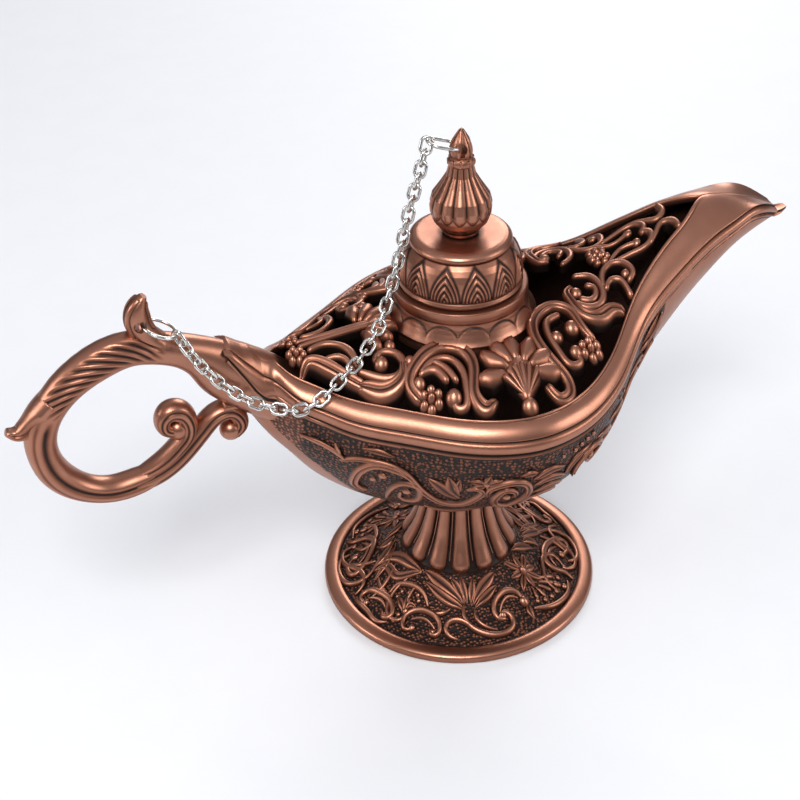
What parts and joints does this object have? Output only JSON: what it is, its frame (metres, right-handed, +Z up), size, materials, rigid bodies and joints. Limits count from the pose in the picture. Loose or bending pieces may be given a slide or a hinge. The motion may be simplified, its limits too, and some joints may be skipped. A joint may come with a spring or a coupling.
{
  "type": "genie oil lamp",
  "caption": "Boat-shaped antique copper oil lamp on a round foot, with a long spout, scrolled handle, pierced cover and a lifting lid held by a chain.",
  "frame": {"origin": "centre of the foot's underside, on the table", "axes": "+X towards the spout's mouth, +Z up through the finial, +Y towards the far side in the picture"},
  "size_m": [0.2143, 0.0892, 0.1414],
  "materials": {
    "copper": "antique copper plate over cast metal, dark in the recesses and polished on the high places",
    "steel": "bright nickel-plated wire"
  },
  "bodies": {
    "lamp": {"foot": "copper", "stem": "copper", "pedestal_bolt": "steel", "pedestal_washers": "steel", "pedestal_nut": "steel", "bowl": "copper", "rim": "copper", "cover": "copper", "collar": "copper", "handle": "copper", "thumb_rest": "copper", "handle_screw": "steel", "handle_washer": "steel"},
    "lid": {"lid": "copper", "lid_spigot": "copper", "lid_cap": "copper", "finial": "copper", "finial_stud": "steel", "finial_nut": "steel"},
    "chain_top": {"finial_link": "steel", "chain_top": "steel"},
    "chain_middle": {"chain_middle": "steel"},
    "chain_lower": {"chain_lower": "steel", "handle_ring": "steel"}
  },
  "joints": [
    {"name": "lid_lift", "type": "slide", "parent": "lamp", "child": "lid", "axis": [0, 0, 1], "range_m": [0, 0.008]},
    {"name": "chain_top_swing", "type": "hinge", "parent": "lid", "child": "chain_top", "pos_m": [-0.0009, 0, 0.1365], "axis": [0, 1, 0], "range_deg": [0, 2.1]},
    {"name": "chain_middle_swing", "type": "hinge", "parent": "chain_top", "child": "chain_middle", "pos_m": [-0.0242, -0.0064, 0.096], "axis": [0, -1, 0], "range_deg": [0, 15.4]},
    {"name": "chain_lower_swing", "type": "hinge", "parent": "lamp", "child": "chain_lower", "pos_m": [-0.0818, 0, 0.1073], "axis": [0, -1, 0], "range_deg": [0, 5.8]}
  ],
  "couplings": [
    {"joint": "chain_top_swing", "follows": "lid_lift", "rad_per_m": 4.3633},
    {"joint": "chain_middle_swing", "follows": "lid_lift", "rad_per_m": 33.108},
    {"joint": "chain_lower_swing", "follows": "lid_lift", "rad_per_m": 12.214}
  ]
}
